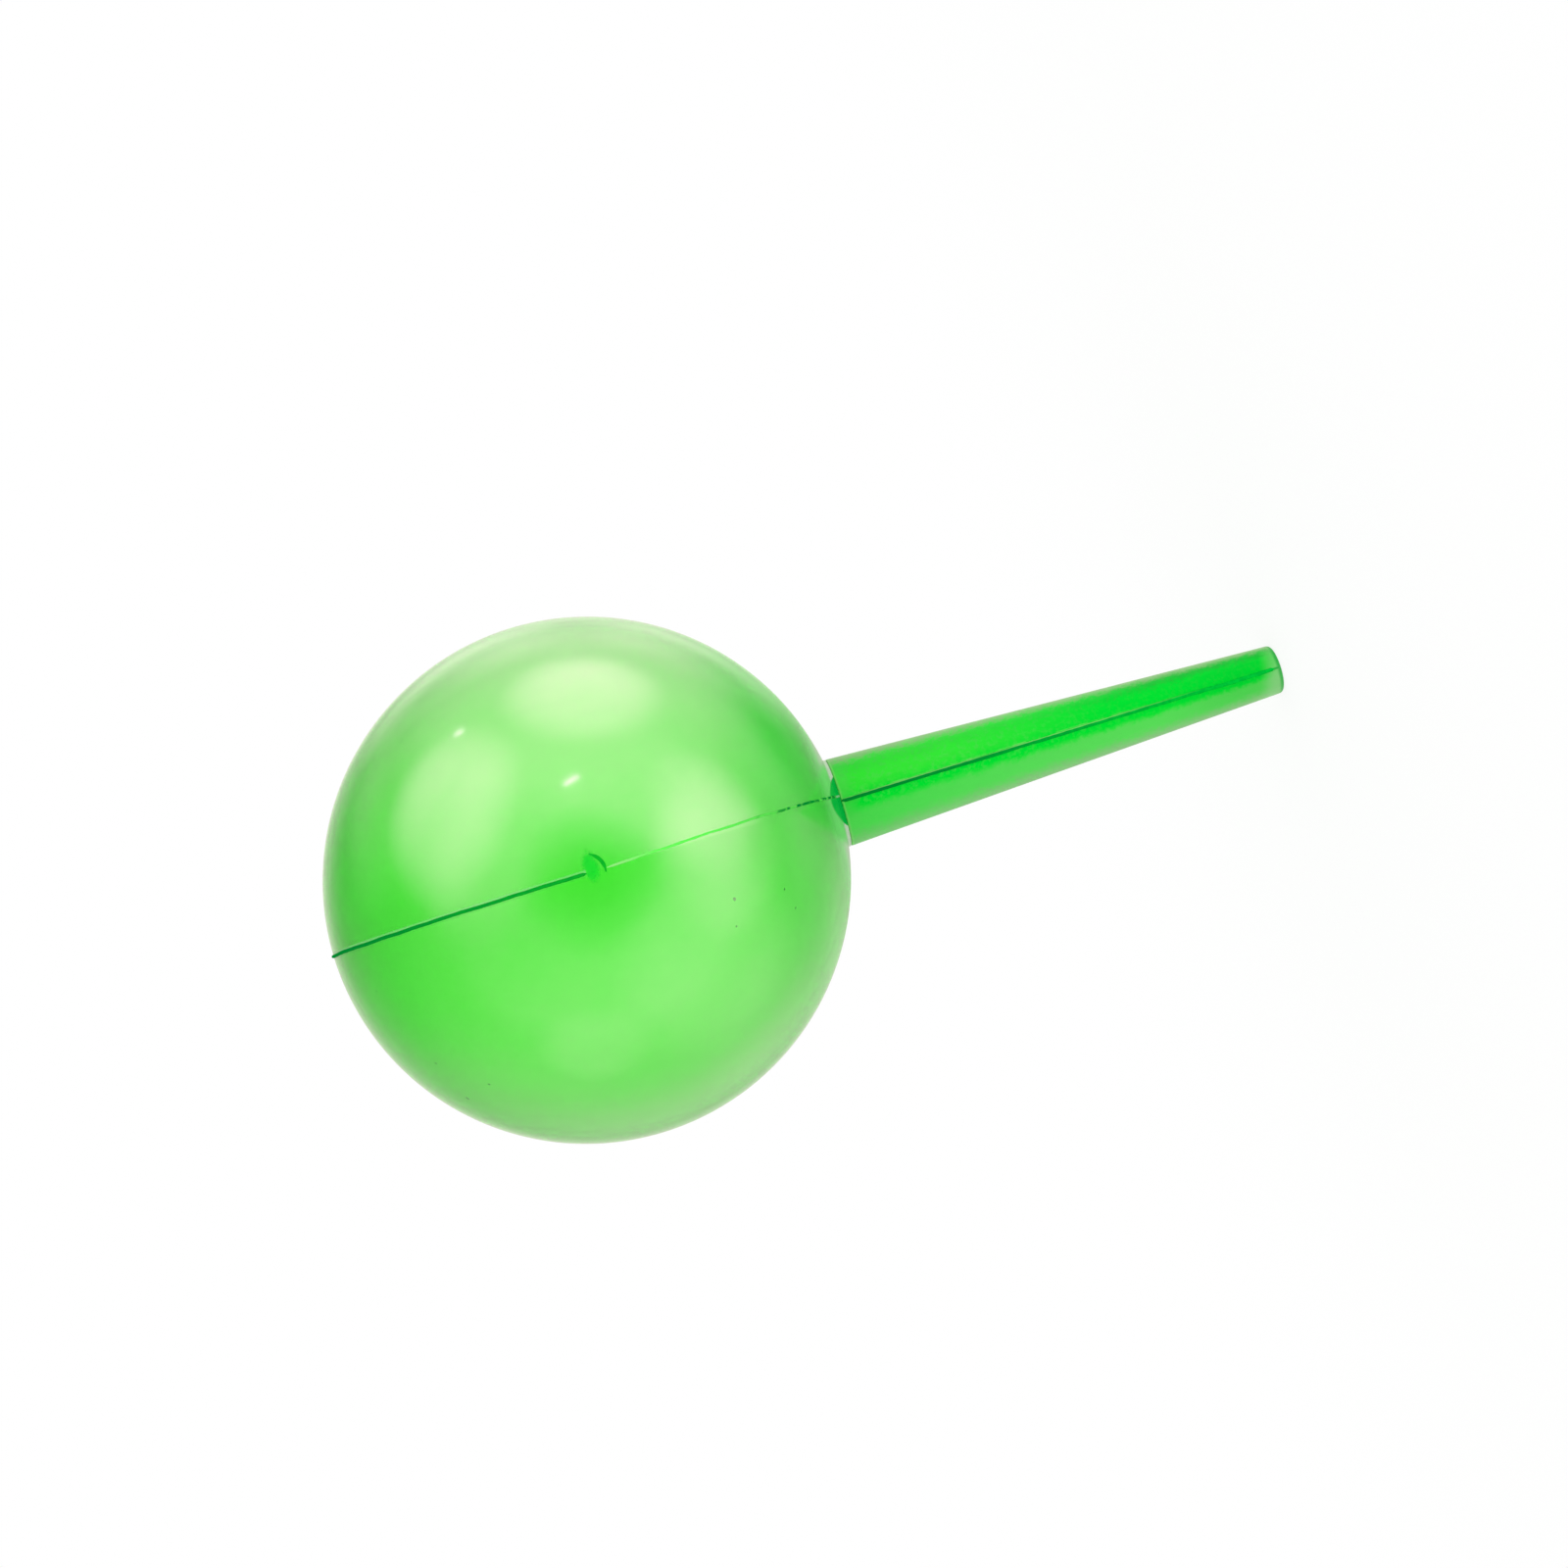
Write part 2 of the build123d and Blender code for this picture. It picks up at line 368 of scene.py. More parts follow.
class FoldZones:
    """The deep patch in a fold and the painted highlight beside the weld."""

    patch_aside = 0.8 * MM  # from the weld's end to the patch's middle
    patch_down = 0.85 * MM
    patch_half_width = 2.2 * MM
    patch_half_height = 1.1 * MM
    patch_ragged = 1.5  # how far noise shifts the next step
    patch = (1.4, 0.2, 0, 0.8)  # square of the distance from its middle, in half sizes
    beside_weld = (0.65 * MM, 0.4 * MM)  # distance from the parting plane
    lit_side = (-0.2 * MM, 0.2 * MM, 0.15, 0.45)  # place across the weld
    lowest = 20 * MM  # height over which the matt plastic has the folds' green


class StemZones:
    """The stem. A side is a share of its radius, from -1 on the -X half, which has the pale painted
    sheen, to 1.
    """

    side_blotches = 0.25  # how far noise shifts a side
    side_grain = 0.3
    even_side = (-0.1, 0.3)  # side
    even_height = (-45 * MM, -10 * MM)  # height
    pale_side = (-0.2, -0.42)  # side
    pale_height = (0, -35 * MM, 0.75, 1.0)  # height
    rim = (-2.2 * MM, 0, 0, 0.45)  # height
    rim_ragged = 1.5 * MM
    grain = (0.45, 0.7)  # noise
    grained = (-50 * MM, -20 * MM, 0.1, 0.4)  # height
    shade_side = (0.4, 0.85)  # side
    shade_height = (38 * MM, 15 * MM, 0.3, 0.8)  # distance from the tip
    shade_tip = (22 * MM, 5 * MM, 0, 0.25)  # distance from the tip
    grey_side = (-0.6, -1.0)  # side
    grey_height = (0, -35 * MM, 0.6, 1.0)  # height
    end = (3.2 * MM, 0.2 * MM)  # distance from the tip
    end_lean = 1.2 * MM  # how much shorter the end is for one radius aside
    end_ragged = 1.0 * MM
    end_side = (0.3, -0.3, 0.55, 0.8)  # side
    edge = (0.75, 1.0)  # side
    lit_from = (0.28 * MM, 0.34 * MM)  # place along X of the painted highlight beside the parting line
    lit_to = (0.56 * MM, 0.5 * MM)
    lit_broken = (0.4, 0.7)  # noise
    lit_height = (15 * MM, 30 * MM, 0, 0.5)  # distance from the tip
    lip = (-0.5 * MM, -0.2 * MM, 0, 0.6)  # height of the painted highlight on the rim's edge
    seam = (0.24 * MM, 0.1 * MM)  # distance from the parting plane
    seam_height = (2.0 * MM, 1.2 * MM, 0, 0.8)  # distance from the tip
    mouth = (0.9 * MM, 0.4 * MM, 0, 0.75)  # distance from the tip


class LineZones:
    """The raised lines."""

    dark = (0.6, 0.4, 0, 0.3)  # noise
    lit_edge = (0.15 * MM, 0.2 * MM)  # place along X
    lit_ragged = 0.1 * MM
    lit_height = (10 * MM, 30 * MM, 0, 0.6)  # over the line's bottom
    deep = (36 * MM, 27 * MM)  # height
    even = (24 * MM, 8 * MM)  # height
    specks = (0.5, 0.56)  # noise
    specked = (16 * MM, 8 * MM)  # height
    more_specks = (9 * MM, 4 * MM, 0, 0.1)  # height


GROUPS = {
    "watering_globe": GlobeSizes,
    "watering_stem": StemSizes,
    "watering_lines": LineSizes,
    "watering_plastic": PlasticLook,
    "watering_studio": StudioSetup,
}


class Value:
    """A node's output, on which Python's operators add Math nodes."""

    def __init__(self, graph, socket):
        self.graph = graph
        self.socket = socket

    def math(self, operation, *terms):
        return self.graph.node("ShaderNodeMath", {"operation": operation}, dict(enumerate(terms)))

    def __add__(self, other):
        return self.math("ADD", self, other)

    def __radd__(self, other):
        return self.math("ADD", other, self)

    def __sub__(self, other):
        return self.math("SUBTRACT", self, other)

    def __rsub__(self, other):
        return self.math("SUBTRACT", other, self)

    def __mul__(self, other):
        return self.math("MULTIPLY", self, other)

    def __rmul__(self, other):
        return self.math("MULTIPLY", other, self)

    def __truediv__(self, other):
        return self.math("DIVIDE", self, other)

    def __mod__(self, other):
        return self.math("FLOORED_MODULO", self, other)

    def __pow__(self, other):
        return self.math("POWER", self, other)

    def __gt__(self, other):
        return self.math("GREATER_THAN", self, other)

    def __lt__(self, other):
        return self.math("LESS_THAN", self, other)

    def __abs__(self):
        return self.math("ABSOLUTE", self)

    def floor(self):
        return self.math("FLOOR", self)

    def sign(self):
        return self.math("SIGN", self)

    def at_least(self, other):
        """The larger of two values."""
        return self.math("MAXIMUM", self, other)

    def step(self, start, end, low=0.0, high=1.0):
        """A soft step from low at start to high at end."""
        return self.graph.node(
            "ShaderNodeMapRange",
            {"interpolation_type": "SMOOTHSTEP"},
            {"Value": self, "From Min": start, "From Max": end, "To Min": low, "To Max": high},
        )


class Graph:
    """A node tree that is being written."""

    def __init__(self, tree):
        self.tree = tree

    def node(self, kind, options=None, sockets=None, output=0):
        """Add a node, with its options first and then the values or links of its sockets."""
        node = self.tree.nodes.new(kind)
        for name, value in (options or {}).items():
            setattr(node, name, value)
        for name, value in (sockets or {}).items():
            socket = node.inputs[name]
            if isinstance(value, Value):
                self.tree.links.new(value.socket, socket)
            else:
                socket.default_value = value
        return Value(self, node.outputs[output]) if node.outputs else node

    def mix(self, share, first, second):
        """A colour between two."""
        return self.node(
            "ShaderNodeMix", {"data_type": "RGBA"}, {0: share, 6: first, 7: second}, output=2
        )

    def vector(self, operation, *terms, output=0):
        return self.node(
            "ShaderNodeVectorMath", {"operation": operation}, dict(enumerate(terms)), output
        )


def rgba(tint):
    return (*tint, 1.0)


def settings(name):
    return getattr(bpy.context.scene, name)


def centre_height():
    """Height of the ball's centre: its collar is as wide as the stem's rim."""
    return settings("watering_globe").collar + sqrt(GLOBE_RADIUS**2 - RIM_RADIUS**2)


def stem_radius(height):
    """Outside radius of the stem at a height, which is 0 at the rim and negative below."""
    tip = settings("watering_stem").tip
    return RIM_RADIUS + (RIM_RADIUS - tip) * height / STEM_LENGTH


def spread(start, end, count):
    """Even values from start to end."""
    return [start + (end - start) * i / (count - 1) for i in range(count)]


def arc(middle, radius, start, end, count):
    """Points of an arc in the outline's plane, as (distance from the axis, height)."""
    turns = spread(start, end, count)
    return [(middle[0] + radius * cos(t), middle[1] + radius * sin(t)) for t in turns]


def globe_outline(sizes):
    """Half section of the globe, from the crown outside round to the crown inside."""
    height = centre_height()
    neck = sizes.bore + sizes.neck_wall
    neck_tip = neck - NECK_LENGTH * tan(sizes.neck_taper)
    hollow = GLOBE_RADIUS - (sizes.crown_wall + sizes.shoulder_wall) / 2
    hollow_height = height + (sizes.shoulder_wall - sizes.crown_wall) / 2
    root, lip, end = sizes.neck_root, sizes.neck_lip, sizes.neck_end
    lip_height = hollow_height - sqrt((hollow + lip) ** 2 - (sizes.bore + lip) ** 2)
    lip_turn = atan2(hollow_height - lip_height, -(sizes.bore + lip))
    foot = sizes.collar_round
    foot_height = height - sqrt((GLOBE_RADIUS + foot) ** 2 - (RIM_RADIUS + foot) ** 2)
    foot_turn = atan2(height - foot_height, -(RIM_RADIUS + foot))
    seat = sizes.seat_round
    points = arc((0, height), GLOBE_RADIUS, pi / 2, foot_turn - pi, BALL_POINTS)
    points += arc((RIM_RADIUS + foot, foot_height), foot, foot_turn, pi, FILLET_POINTS)[1:]
    points += arc((RIM_RADIUS - seat, seat), seat, 0, -pi / 2, ROUND_POINTS)
    points += arc((neck + root, -root), root, pi / 2, pi, ROUND_POINTS)
    points += arc((neck_tip - end, end - NECK_LENGTH), end, 0, -pi / 2, ROUND_POINTS)
    points += arc((sizes.bore + end, end - NECK_LENGTH), end, -pi / 2, -pi, ROUND_POINTS)
    points += arc((sizes.bore + lip, lip_height), lip, pi, lip_turn, FILLET_POINTS)
    points += arc((0, hollow_height), hollow, lip_turn - pi, pi / 2, BALL_POINTS)[1:]
    points[0] = (0, points[0][1])
    points[-1] = (0, points[-1][1])
    return points


def stem_outline(sizes):
    """Half section of the stem, from the rim down outside and back up inside."""
    rim, tip_round, mouth = sizes.rim_round, sizes.tip_round, sizes.drip_round
    top = -sizes.seat_gap
    floor = -sizes.socket_depth
    slope = atan2(RIM_RADIUS - sizes.tip, STEM_LENGTH)
    taper = settings("watering_globe").neck_taper
    socket_floor = sizes.socket - sizes.socket_depth * tan(taper)
    tip_centre = (sizes.tip - tip_round, tip_round - STEM_LENGTH)
    points = [(sizes.socket + sizes.socket_chamfer, top)]
    points += arc((RIM_RADIUS - rim, top - rim), rim, pi / 2, -slope, ROUND_POINTS)
    points += arc(tip_centre, tip_round, -slope, -pi / 2, TIP_POINTS)
    points += arc((sizes.drip + mouth, mouth - STEM_LENGTH), mouth, -pi / 2, -pi, ROUND_POINTS)
    points += [
        (sizes.drip, sizes.drip_length - STEM_LENGTH),
        (sizes.throat, floor),
        (socket_floor, floor),
        (sizes.socket, top - sizes.socket_chamfer),
    ]
    return points + points[:1]


def outline_object(name, points):
    """A wire object through (distance, height) points in the XZ plane."""
    return path_object(name, [[(x, 0, z) for x, z in points]])


def path_object(name, paths):
    """A wire object through several rows of points."""
    points, edges = [], []
    for path in paths:
        edges += [(len(points) + i, len(points) + i + 1) for i in range(len(path) - 1)]
        points += path
    mesh = bpy.data.meshes.new(name)
    mesh.from_pydata(points, edges, [])
    return place(name, mesh)


def place(name, data):
    """Put a new object with a mesh, a lamp or a camera into the scene."""
    piece = bpy.data.objects.new(name, data)
    bpy.context.scene.collection.objects.link(piece)
    return piece


def new_tree(name, inputs):
    """A Geometry Nodes tree with named inputs, as (graph, its inputs by name)."""
    tree = bpy.data.node_groups.new(name, "GeometryNodeTree")
    tree.interface.new_socket("Geometry", in_out="INPUT", socket_type="NodeSocketGeometry")
    tree.interface.new_socket("Geometry", in_out="OUTPUT", socket_type="NodeSocketGeometry")
    for title, kind in inputs.items():
        tree.interface.new_socket(title, in_out="INPUT", socket_type="NodeSocket" + kind)
    graph = Graph(tree)
    source = tree.nodes.new("NodeGroupInput")
    return graph, {s.name: Value(graph, s) for s in source.outputs if s.name}


def end_tree(graph, mesh, material, crease):
    """Finish a tree: soft shading up to the crease angle, no instances, one material."""
    smooth = graph.node("GeometryNodeSetShadeSmooth", {"domain": "FACE"}, {"Geometry": mesh})
    bend = graph.node("GeometryNodeInputMeshEdgeAngle")
    sharp = graph.node(
        "GeometryNodeSetShadeSmooth",
        {"domain": "EDGE"},
        {"Geometry": smooth, "Shade Smooth": bend < crease},
    )
    real = graph.node("GeometryNodeRealizeInstances", sockets={"Geometry": sharp})
    done = graph.node(
        "GeometryNodeSetMaterial", sockets={"Geometry": real, "Material": material}
    )
    graph.node("NodeGroupOutput", sockets={"Geometry": done})


def revolve_tree():
    """Turns an outline in the XZ plane about Z into a closed skin."""
    graph, given = new_tree("Turned skin", {"Around": "Int", "Material": "Material"})
    outline = given["Geometry"]
    count = graph.node("GeometryNodeAttributeDomainSize", sockets={"Geometry": outline})
    grid = graph.node(
        "GeometryNodeMeshGrid", sockets={"Vertices X": given["Around"] + 1, "Vertices Y": count}
    )
    index = graph.node("GeometryNodeInputIndex")
    position = graph.node("GeometryNodeInputPosition")
    point = graph.node(
        "GeometryNodeSampleIndex",
        {"data_type": "FLOAT_VECTOR"},
        {"Geometry": outline, "Value": position, "Index": index % count},
    )
    turned = graph.node(
        "ShaderNodeVectorRotate",
        {"rotation_type": "Z_AXIS"},
        {"Vector": point, "Angle": (index / count).floor() * (2 * pi) / given["Around"]},
    )
    round_skin = graph.node(
        "GeometryNodeSetPosition", sockets={"Geometry": grid, "Position": turned}
    )
    round_skin = graph.node("GeometryNodeFlipFaces", sockets={"Mesh": round_skin})
    closed = graph.node(
        "GeometryNodeMergeByDistance", sockets={"Geometry": round_skin, "Distance": SAME_PLACE}
    )
    end_tree(graph, closed, given["Material"], SKIN_CREASE)
    return graph.tree


def ridge_tree():
    """Sweeps a rounded ridge along paths on the ball or on the stem."""
    floats = ("Width", "Height", "Spacing", "Unevenness", "Taper", "Grain", "Wander")
    inputs = dict.fromkeys(floats, "Float")
    inputs |= {"Middle": "Vector", "Round": "Vector", "Material": "Material"}
    graph, given = new_tree("Mould ridge", inputs)
    wire = graph.node("GeometryNodeMeshToCurve", sockets={"Mesh": given["Geometry"]})
    wire = graph.node(
        "GeometryNodeResampleCurve", {"mode": "LENGTH"}, {"Curve": wire, "Length": given["Spacing"]}
    )
    position = graph.node("GeometryNodeInputPosition")
    drift = uneven(graph, position, *WANDERING)
    shift = graph.node("ShaderNodeCombineXYZ", sockets={"X": drift * given["Wander"]})
    wire = graph.node("GeometryNodeSetPosition", sockets={"Geometry": wire, "Offset": shift})
    outwards = graph.vector("SUBTRACT", position, given["Middle"])
    outwards = graph.vector("MULTIPLY", outwards, given["Round"])
    outwards = graph.vector("NORMALIZE", outwards)
    wire = graph.node(
        "GeometryNodeSetCurveNormal", {"mode": "FREE"}, {"Curve": wire, "Normal": outwards}
    )
    along = graph.node("GeometryNodeSplineParameter")
    taper = along.step(0.0, given["Taper"]) * (1 - along).step(0.0, given["Taper"])
    taper = taper * (1 - RIDGE_END) + RIDGE_END
    swell = 1 + uneven(graph, position, given["Grain"], *RIDGE_GRAIN) * 2 * given["Unevenness"]
    wire = graph.node(
        "GeometryNodeSetCurveRadius", sockets={"Curve": wire, "Radius": taper * swell}
    )
    loop = graph.node(
        "GeometryNodeCurvePrimitiveCircle",
        {"mode": "RADIUS"},
        {"Resolution": RIDGE_SIDES, "Radius": 1.0},
    )
    size = graph.node(
        "ShaderNodeCombineXYZ", sockets={"X": given["Height"], "Y": given["Width"] / 2, "Z": 1.0}
    )
    loop = graph.node("GeometryNodeTransform", sockets={"Geometry": loop, "Scale": size})
    radius = graph.node("GeometryNodeInputRadius")
    ridge = graph.node(
        "GeometryNodeCurveToMesh",
        sockets={"Curve": wire, "Profile Curve": loop, "Scale": radius, "Fill Caps": True},
    )
    end_tree(graph, ridge, given["Material"], RIDGE_CREASE)
    return graph.tree


def ridge_values(kind, material):
    """Inputs of the ridge tree that go by the kind of line: weld, line, fold or stem."""
    sizes = settings("watering_lines")
    values = {"Wander": sizes.wander, "Material": material}
    for title in ("Width", "Height", "Unevenness", "Taper"):
        values[title] = getattr(sizes, f"{kind}_{title.lower()}")
    return values


def run_nodes(piece, tree, values):
    """Set a tree's inputs on a piece, and make what it gives the piece's own plain mesh."""
    modifier = piece.modifiers.new(tree.name, "NODES")
    modifier.node_group = tree
    for item in tree.interface.items_tree:
        if item.in_out == "INPUT" and item.name in values:
            modifier[item.identifier] = values[item.name]
    shown = piece.evaluated_get(bpy.context.evaluated_depsgraph_get())
    mesh = bpy.data.meshes.new_from_object(shown)
    if not mesh.polygons:
        raise RuntimeError(f"{piece.name} came out empty")
    piece.modifiers.remove(modifier)
    wire = piece.data
    piece.data = mesh
    mesh.name = piece.name
    bpy.data.meshes.remove(wire)


def new_material(name):
    material = bpy.data.materials.new(name)
    material.use_nodes = True
    material.node_tree.nodes.clear()
    return material, Graph(material.node_tree)


def noise(graph, spot, scale, detail, roughness=NOISE_ROUGHNESS):
    """Uneven values from 0 to 1. The scale is in bumps per metre."""
    sockets = {"Vector": spot, "Scale": scale, "Detail": detail, "Roughness": roughness}
    return graph.node("ShaderNodeTexNoise", {}, sockets)


def uneven(graph, *terms):
    """A noise whose values lie about 0."""
    return noise(graph, *terms) - NOISE_MEAN


def axes(graph, spot):
    """The three coordinates of a place."""
    return [graph.node("ShaderNodeSeparateXYZ", {}, {"Vector": spot}, output=n) for n in "XYZ"]


def waves(graph, spot):
    """Height of the faint waves and dents in a skin."""
    drawn = graph.vector("MULTIPLY", spot, WAVE_STRETCH)
    relief = noise(graph, drawn, *WAVES) + noise(graph, spot, *DENTS) * DENT_SHARE
    return relief * settings("watering_plastic").waviness


def skin(graph, relief, tint, roughness, shine, clear, level):
    """A skin of translucent plastic."""
    look = settings("watering_plastic")
    bump = {"Strength": 1.0, "Distance": 1.0, "Height": relief}
    return graph.node(
        "ShaderNodeBsdfPrincipled",
        {},
        {
            "Base Color": tint,
            "Roughness": roughness,
            "IOR": look.ior,
            "Specular IOR Level": level,
            "Specular Tint": rgba(shine),
            "Transmission Weight": clear,
            "Normal": graph.node("ShaderNodeBump", {}, bump),
        },
    )


def fill(graph, surface):
    """Finish a plastic with what its body absorbs."""
    look = settings("watering_plastic")
    body = graph.node(
        "ShaderNodeVolumeAbsorption", {}, {"Color": rgba(look.passes), "Density": look.density}
    )
    graph.node("ShaderNodeOutputMaterial", {}, {"Surface": surface, "Volume": body})


def globe_plastic():
    """The globe's milky plastic. The hollow is rougher than the outer skin, which shines more.
    The collar, a lens of painted shade above it and the folds are matt."""
    look = settings("watering_plastic")
    material, graph = new_material("Blown green plastic")
    spot = graph.node("ShaderNodeTexCoord", output="Object")
    across, _, height = axes(graph, spot)
    distance = graph.vector("DISTANCE", spot, (0, 0, centre_height()), output="Value")
    inside = (GLOBE_RADIUS - distance).step(*GlobeZones.inner_skin)
    outside = 1 - inside * height.step(*GlobeZones.hollow_floor)
    mottle = uneven(graph, spot, *MOTTLE) * look.globe_mottle
    scuffed = (1 - inside) * height.step(*GlobeZones.scuffed)
    roughness = look.skin + inside * (look.inside - look.skin) + scuffed * look.scuff + mottle
    nearness = graph.node("ShaderNodeClamp", {}, {"Value": 1 - abs(across) / look.crease_reach})
    roof = nearness**2 * look.crease
    tint = paint_globe(graph, spot, outside)
    relief = waves(graph, spot) * outside
    bent = relief + roof * outside
    shine = [look.gloss * part for part in look.globe_shine]
    outer = skin(graph, bent, tint, roughness, shine, look.globe_clear, look.skin_sheen)
    inner = skin(graph, bent, tint, roughness, look.globe_shine, look.globe_clear, look.skin_sheen)
    ball = graph.node("ShaderNodeMixShader", {}, {0: inside, 1: outer, 2: inner})
    # Tint of the matt plastic, with painted shade in its lens and painted highlight on the collar and
    # beside the weld
    tint, pinched = paint_matt_with_shade_and_highlight(graph, spot)
    matt = skin(graph, relief, tint, look.matt + mottle, look.stem_shine, 0.0, look.matt_sheen)
    blend = graph.node("ShaderNodeMixShader", {}, {0: pinched * outside, 1: ball, 2: matt})
    fill(graph, blend)
    return material


def paint_globe(graph, spot, outside):
    """Mottled tint, deeper at the crown and with a pale painted sheen close to the neck, with drawn
    marks, grain and a few specks."""
    look = settings("watering_plastic")
    zones = GlobeZones
    height = axes(graph, spot)[2]
    clouds = noise(graph, spot, *CLOUDS).step(*zones.clouds)
    thick = clouds.at_least(height.step(*zones.crown))
    tint = graph.mix(thick, rgba(look.globe_tint), rgba(look.globe_deep))
    drawn = graph.vector("MULTIPLY", spot, MARK_STRETCH)
    marks = noise(graph, drawn, *MARKS).step(*zones.marks)
    grain = noise(graph, spot, *GLOBE_GRAIN).step(*zones.grain) * height.step(*zones.grained)
    tint = graph.mix((marks + grain) * outside, tint, rgba(look.globe_deep))
    # Pale painted sheen close to the neck
    tint = graph.mix(height.step(*zones.pale) * outside, tint, rgba(look.globe_pale))
    specks = noise(graph, spot, *SPECKS).step(*zones.specks)
    return graph.mix(specks * outside, tint, rgba(look.line))


def paint_matt_with_shade_and_highlight(graph, spot):
    """Tint and mask of the matt plastic: the collar and the shoulder over it, with a pale painted
    highlight, a deep lens of painted shade where the globe meets the stem, over each parting line, and
    the folds."""
    look = settings("watering_plastic")
    sizes = settings("watering_lines")
    zones = NeckZones
    across, _, height = axes(graph, spot)
    # The lens of painted shade over the seat, where the globe meets the stem
    lens = (1 - (across / sizes.shaded_lens_half) ** 2) * sizes.shaded_lens_height
    pinched = (lens - height).step(*zones.lens)
    seam = abs(across - sizes.line_drift).step(*zones.seam)
    above = height.step(*zones.seat)
    # Painted highlight in the pale collar tint, on the collar, the low sides and the lower shoulder
    scuffed = abs(across).step(*zones.highlight_sides) * height.step(*zones.highlight_low)
    for zone in (zones.highlight_shoulder, zones.highlight_collar):
        scuffed = scuffed.at_least(height.step(*zone))
    tint = graph.mix(scuffed, rgba(look.shoulder), rgba(look.collar))
    tint = graph.mix(above, rgba(look.stem_even), tint)
    # Painted shade in the lens, crossed by the fine line
    tint = graph.mix(pinched * above * (1 - seam), tint, rgba(look.deep_green_and_shade))
    matt = height.step(*zones.thick_shoulder) * across.step(*zones.thick_side)
    for zone in (zones.matt_shoulder, zones.matt_collar):
        matt = matt.at_least(height.step(*zone))
    tint, folds = paint_folds(graph, spot, tint)
    return tint, pinched.at_least(matt).at_least(folds)


def paint_folds(graph, spot, tint):
    """Tint and mask of a deep patch in each fold and of a painted highlight beside the weld. The given
    tint stays below them."""
    look = settings("watering_plastic")
    zones = FoldZones
    across, depth, height = axes(graph, spot)
    aside = across * depth.sign() * -1
    down = centre_height() + settings("watering_lines").fold_rise - height
    wide = (aside - zones.patch_aside) / zones.patch_half_width
    tall = (down - zones.patch_down) / zones.patch_half_height
    ragged = uneven(graph, spot, *LINE_GRAIN) * zones.patch_ragged
    patch = (wide**2 + tall**2 + ragged).step(*zones.patch)
    # Painted highlight beside the weld, above the folds, brighter on one side of it
    edge = abs(aside).step(*zones.beside_weld) * (down < 0) * aside.step(*zones.lit_side)
    tint = graph.mix(height > zones.lowest, tint, rgba(look.fold_patch))
    tint = graph.mix(edge, tint, rgba(look.globe_pale))
    return tint, patch.at_least(edge)


def stem_plastic():
    """The stem's matt plastic."""
    look = settings("watering_plastic")
    material, graph = new_material("Moulded green plastic")
    spot = graph.node("ShaderNodeTexCoord", output="Object")
    roughness = look.matt + uneven(graph, spot, *MOTTLE) * look.stem_mottle
    tint = paint_stem(graph, spot)
    relief = waves(graph, spot)
    matt = skin(graph, relief, tint, roughness, look.stem_shine, look.stem_clear, look.matt_sheen)
    fill(graph, matt)
    return material


def paint_stem(graph, spot):
    """Deepest just past the parting lines, with a pale painted sheen on the -X half, paler at the rim,
    greyer at the edges as a painted grazing reflection, and greyer at the tip, which has a deep ring
    round its mouth. Painted highlights run beside the parting lines and along the rim's edge."""
    look = settings("watering_plastic")
    zones = StemZones
    across, _, height = axes(graph, spot)
    from_tip = height + STEM_LENGTH
    blotches = noise(graph, spot, *BLOTCHES)
    grain = noise(graph, spot, *STEM_GRAIN)
    ragged = (blotches - NOISE_MEAN) * zones.side_blotches + (grain - NOISE_MEAN) * zones.side_grain
    side = across / stem_radius(height) + ragged
    even = side.step(*zones.even_side) * height.step(*zones.even_height)
    # Painted sheen: the -X half is paler
    pale = side.step(*zones.pale_side) * height.step(*zones.pale_height)
    rim = (height + blotches * zones.rim_ragged).step(*zones.rim)
    grained = grain.step(*zones.grain) * height.step(*zones.grained)
    shade = side.step(*zones.shade_side) * from_tip.step(*zones.shade_height)
    shade = shade.at_least(from_tip.step(*zones.shade_tip))
    # Painted grazing reflection: greyer along the -X edge
    grey = side.step(*zones.grey_side) * height.step(*zones.grey_height)
    end = from_tip + side * zones.end_lean - blotches * zones.end_ragged
    end = end.step(*zones.end) * side.step(*zones.end_side)
    # Painted highlight beside the parting lines, on their +X side
    lit = across.step(*zones.lit_from) * across.step(*zones.lit_to)
    lit = lit * blotches.step(*zones.lit_broken) * from_tip.step(*zones.lit_height)
    seam = abs(across).step(*zones.seam) * from_tip.step(*zones.seam_height)
    tint = rgba(look.stem_deep)
    for share, paint in (
        (even, look.stem_even),
        (pale, look.stem_pale),
        (rim, look.stem_pale),
        (grained, look.stem_pale),
        (shade, look.stem_shade),
        (grey, look.stem_grey),
        (end, look.stem_end),
        # Painted grazing reflection along the +X edge
        (side.step(*zones.edge), look.stem_edge),
        # Painted highlights beside the parting lines and on the rim's edge
        (lit.at_least(height.step(*zones.lip)), look.line_edge),
        (seam.at_least(from_tip.step(*zones.mouth)), look.deep_green_and_shade),
    ):
        tint = graph.mix(share, tint, rgba(paint))
    return tint


def line_plastic(name, low, high, bottom, top, lit=False):
    """The green of a raised line, where the light goes a long way through plastic, from one tint at
    the bottom to another at the top. A lit line has a painted highlight along its +X side."""
    look = settings("watering_plastic")
    zones = LineZones
    material, graph = new_material(name)
    spot = graph.node("ShaderNodeTexCoord", output="Object")
    across, _, height = axes(graph, spot)
    grain = noise(graph, spot, *LINE_GRAIN)
    tint = graph.mix(height.step(bottom, top), rgba(low), rgba(high))
    tint = graph.mix(grain.step(*zones.dark), tint, rgba(look.line))
    if lit:
        # Painted highlight along the line's +X side
        edge = (across + (grain - NOISE_MEAN) * zones.lit_ragged).step(*zones.lit_edge)
        edge = edge * (height - bottom).step(*zones.lit_height)
        tint = graph.mix(edge, tint, rgba(look.line_edge))
    fill_line(graph, tint)
    return material


